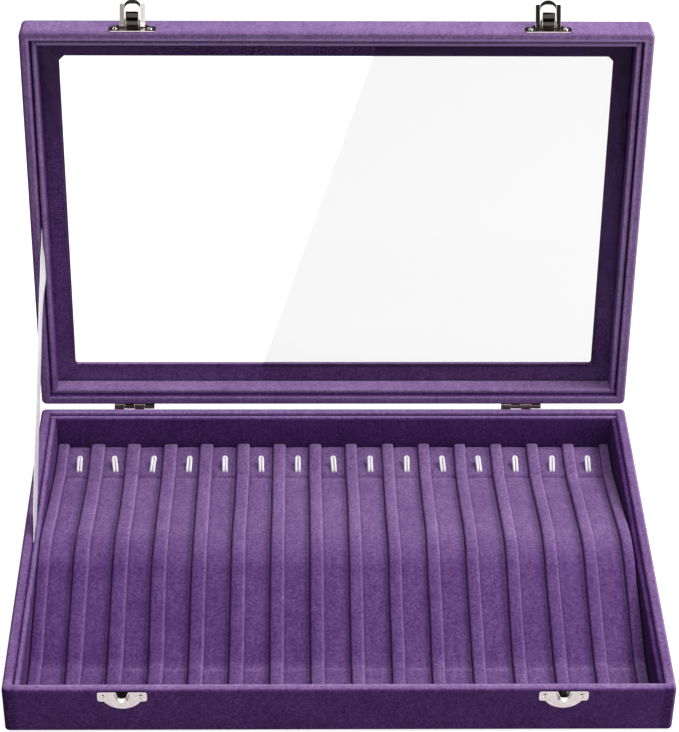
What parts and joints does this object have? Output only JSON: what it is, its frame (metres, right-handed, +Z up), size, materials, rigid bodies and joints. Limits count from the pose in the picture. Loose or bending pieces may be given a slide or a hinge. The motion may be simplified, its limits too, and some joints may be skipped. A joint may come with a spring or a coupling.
{
  "type": "velvet necklace organizer box",
  "caption": "Shallow velvet-covered case with a ribbed, bowed necklace pad, wire hooks along its back, a hinged lid with a clear pane, draw latches and a ribbon stay.",
  "frame": {"origin": "centre of the underside, on the surface that the box stands on", "axes": "+X to the user's right along the front, +Y towards the hinges, +Z up; the lid stands open at the back"},
  "size_m": [0.35, 0.2862, 0.2822],
  "materials": {
    "case_velvet": "short-pile purple velvet",
    "pad_velvet": "short-pile purple velvet",
    "card": "plain grey-brown card",
    "foam": "open-cell foam",
    "hook_wire": "white-coated wire",
    "base_paper": "matt purple lining paper",
    "pane": "clear, polished",
    "ribbon": "white satin ribbon",
    "case_board": "raw fibreboard",
    "pin_steel": "drawn wire",
    "fixing_steel": "nickel plated",
    "nickel": "bright nickel plate"
  },
  "bodies": {
    "tray": {"base_sheet": "base_paper", "hinge_pin_left": "pin_steel", "hinge_pin_right": "pin_steel", "insert_card": "card", "insert_foam": "foam", "insert_velvet_pad": "pad_velvet", "keeper_left": "nickel", "keeper_right": "nickel", "keeper_screws": "fixing_steel", "lid_ribbon_stay": "ribbon", "necklace_hooks": "hook_wire", "tray_back_board": "case_board", "tray_back_liner": "case_velvet", "tray_bottom_board": "case_board", "tray_front_board": "case_board", "tray_front_liner": "case_velvet", "tray_hinge_leaf_left": "nickel", "tray_hinge_leaf_right": "nickel", "tray_hinge_nails": "fixing_steel", "tray_left_board": "case_board", "tray_left_liner": "case_velvet", "tray_right_board": "case_board", "tray_right_liner": "case_velvet", "tray_velvet_cover": "case_velvet"},
    "lid": {"latch_pivot_pin_left": "pin_steel", "latch_pivot_pin_right": "pin_steel", "latch_plate_left": "nickel", "latch_plate_right": "nickel", "latch_screws": "fixing_steel", "lid_back_board": "case_board", "lid_back_liner": "case_velvet", "lid_frame_back": "case_board", "lid_frame_front": "case_board", "lid_frame_left": "case_board", "lid_frame_right": "case_board", "lid_front_board": "case_board", "lid_front_liner": "case_velvet", "lid_glass": "pane", "lid_hinge_leaf_left": "nickel", "lid_hinge_leaf_right": "nickel", "lid_hinge_nails": "fixing_steel", "lid_left_board": "case_board", "lid_left_liner": "case_velvet", "lid_right_board": "case_board", "lid_right_liner": "case_velvet", "lid_velvet_cover": "case_velvet"},
    "lever_left": {"latch_lever_left": "nickel"},
    "lever_right": {"latch_lever_right": "nickel"},
    "loop_left": {"latch_loop_left": "nickel", "loop_pin_left": "pin_steel"},
    "loop_right": {"latch_loop_right": "nickel", "loop_pin_right": "pin_steel"}
  },
  "joints": [
    {"name": "lid_hinge", "type": "hinge", "parent": "tray", "child": "lid", "pos_m": [0, 0.12125, 0.02895], "axis": [1, 0, 0], "range_deg": [0, 95.6], "deforming": ["lid_ribbon_stay"]},
    {"name": "lever_left_pivot", "type": "hinge", "parent": "lid", "child": "lever_left", "pos_m": [-0.1126, 0.15057, 0.2732], "axis": [1, 0, 0], "range_deg": [0, 90]},
    {"name": "loop_left_pivot", "type": "hinge", "parent": "lever_left", "child": "loop_left", "pos_m": [-0.1126, 0.15033, 0.27072], "axis": [1, 0, 0], "range_deg": [-50, 43.9]},
    {"name": "lever_right_pivot", "type": "hinge", "parent": "lid", "child": "lever_right", "pos_m": [0.1162, 0.15057, 0.2732], "axis": [1, 0, 0], "range_deg": [0, 90]},
    {"name": "loop_right_pivot", "type": "hinge", "parent": "lever_right", "child": "loop_right", "pos_m": [0.1162, 0.15033, 0.27072], "axis": [1, 0, 0], "range_deg": [-50, 43.9]}
  ]
}
